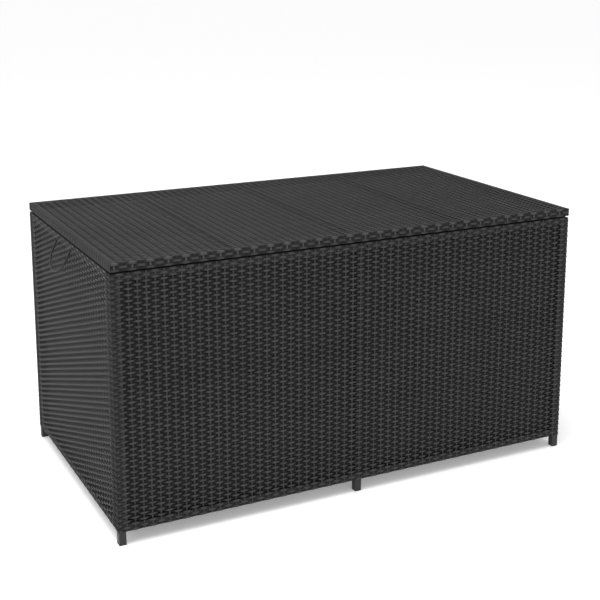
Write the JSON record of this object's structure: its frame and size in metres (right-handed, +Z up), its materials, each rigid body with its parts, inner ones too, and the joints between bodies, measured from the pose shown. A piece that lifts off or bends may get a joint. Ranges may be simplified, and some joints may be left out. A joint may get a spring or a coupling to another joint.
{
  "type": "deck storage box",
  "caption": "Woven outdoor storage chest on short square legs with a hinged flat lid on gas struts, rope side handles and a cloth liner.",
  "frame": {"origin": "on the ground under the middle of the box's plan", "axes": "+X to the right along the width, +Y to the back where the hinges are, +Z up"},
  "size_m": [1.5514, 0.838, 0.783],
  "materials": {
    "woven_strand": "semi-matt flat resin strand with a fine lengthwise grain",
    "coated_steel": "fine textured charcoal powder coat",
    "liner_cloth": "coated plain-weave polyester",
    "cap_plastic": "moulded, fine grain",
    "rope": "braided polypropylene rope",
    "bumper_rubber": "matt",
    "black_hardware": "satin black",
    "rod_steel": "polished",
    "zinc_steel": "bright zinc plate"
  },
  "bodies": {
    "box": {"back_frame": "coated_steel", "back_weave": "woven_strand", "back_wrap": "woven_strand", "floor_bar_screws": "black_hardware", "floor_bars": "coated_steel", "foot_cap_back_left": "cap_plastic", "foot_cap_back_mid": "cap_plastic", "foot_cap_back_right": "cap_plastic", "foot_cap_front_left": "cap_plastic", "foot_cap_front_mid": "cap_plastic", "foot_cap_front_right": "cap_plastic", "front_frame": "coated_steel", "front_weave": "woven_strand", "front_wrap": "woven_strand", "handle_anchor_left": "rope", "handle_anchor_right": "rope", "hinge_base_leaf_left": "black_hardware", "hinge_base_leaf_mid": "black_hardware", "hinge_base_leaf_right": "black_hardware", "hinge_base_screws": "zinc_steel", "hinge_pin_left": "black_hardware", "hinge_pin_mid": "black_hardware", "hinge_pin_right": "black_hardware", "left_frame": "coated_steel", "left_weave": "woven_strand", "left_wrap": "woven_strand", "lid_bumpers": "bumper_rubber", "liner_back": "liner_cloth", "liner_floor": "liner_cloth", "liner_front": "liner_cloth", "liner_left": "liner_cloth", "liner_press_studs": "black_hardware", "liner_right": "liner_cloth", "panel_bolts": "black_hardware", "right_frame": "coated_steel", "right_weave": "woven_strand", "right_wrap": "woven_strand", "rivet_nuts": "black_hardware", "strut_base_bracket_left": "black_hardware", "strut_base_bracket_right": "black_hardware", "strut_base_screws": "zinc_steel"},
    "lid": {"hinge_lid_leaf_left": "black_hardware", "hinge_lid_leaf_mid": "black_hardware", "hinge_lid_leaf_right": "black_hardware", "hinge_lid_screws": "zinc_steel", "lid_cross_tubes": "coated_steel", "lid_frame": "coated_steel", "lid_liner": "liner_cloth", "lid_weave": "woven_strand", "lid_wrap": "woven_strand", "strut_lid_bracket_left": "black_hardware", "strut_lid_bracket_right": "black_hardware", "strut_lid_screws": "zinc_steel"},
    "strut_cylinder_body_left": {"strut_cylinder_left": "black_hardware"},
    "strut_rod_body_left": {"strut_rod_left": "rod_steel"},
    "handle_body_left": {"handle_rope_left": "rope"},
    "strut_cylinder_body_right": {"strut_cylinder_right": "black_hardware"},
    "strut_rod_body_right": {"strut_rod_right": "rod_steel"},
    "handle_body_right": {"handle_rope_right": "rope"}
  },
  "joints": [
    {"name": "lid_hinge", "type": "hinge", "parent": "box", "child": "lid", "pos_m": [0, 0.4195, 0.7575], "axis": [-1, 0, 0], "range_deg": [0, 75]},
    {"name": "strut_swing_left", "type": "hinge", "parent": "box", "child": "strut_cylinder_body_left", "pos_m": [-0.692, 0.379, 0.5575], "axis": [-1, 0, 0], "range_deg": [0, 37.2]},
    {"name": "strut_slide_left", "type": "slide", "parent": "strut_cylinder_body_left", "child": "strut_rod_body_left", "axis": [0, -0.6581, 0.753], "range_m": [0, 0.148]},
    {"name": "handle_swing_left", "type": "hinge", "parent": "box", "child": "handle_body_left", "pos_m": [-0.738, 0, 0.744], "axis": [0, 1, 0], "range_deg": [-24, 130]},
    {"name": "strut_swing_right", "type": "hinge", "parent": "box", "child": "strut_cylinder_body_right", "pos_m": [0.692, 0.379, 0.5575], "axis": [-1, 0, 0], "range_deg": [0, 37.2]},
    {"name": "strut_slide_right", "type": "slide", "parent": "strut_cylinder_body_right", "child": "strut_rod_body_right", "axis": [0, -0.6581, 0.753], "range_m": [0, 0.148]},
    {"name": "handle_swing_right", "type": "hinge", "parent": "box", "child": "handle_body_right", "pos_m": [0.738, 0, 0.744], "axis": [0, -1, 0], "range_deg": [-24, 130]}
  ],
  "couplings": [
    {"joint": "strut_swing_left", "follows": "lid_hinge", "ratio": 0.49343},
    {"joint": "strut_slide_left", "follows": "lid_hinge", "m_per_rad": 0.11253},
    {"joint": "strut_swing_right", "follows": "lid_hinge", "ratio": 0.49343},
    {"joint": "strut_slide_right", "follows": "lid_hinge", "m_per_rad": 0.11253}
  ]
}
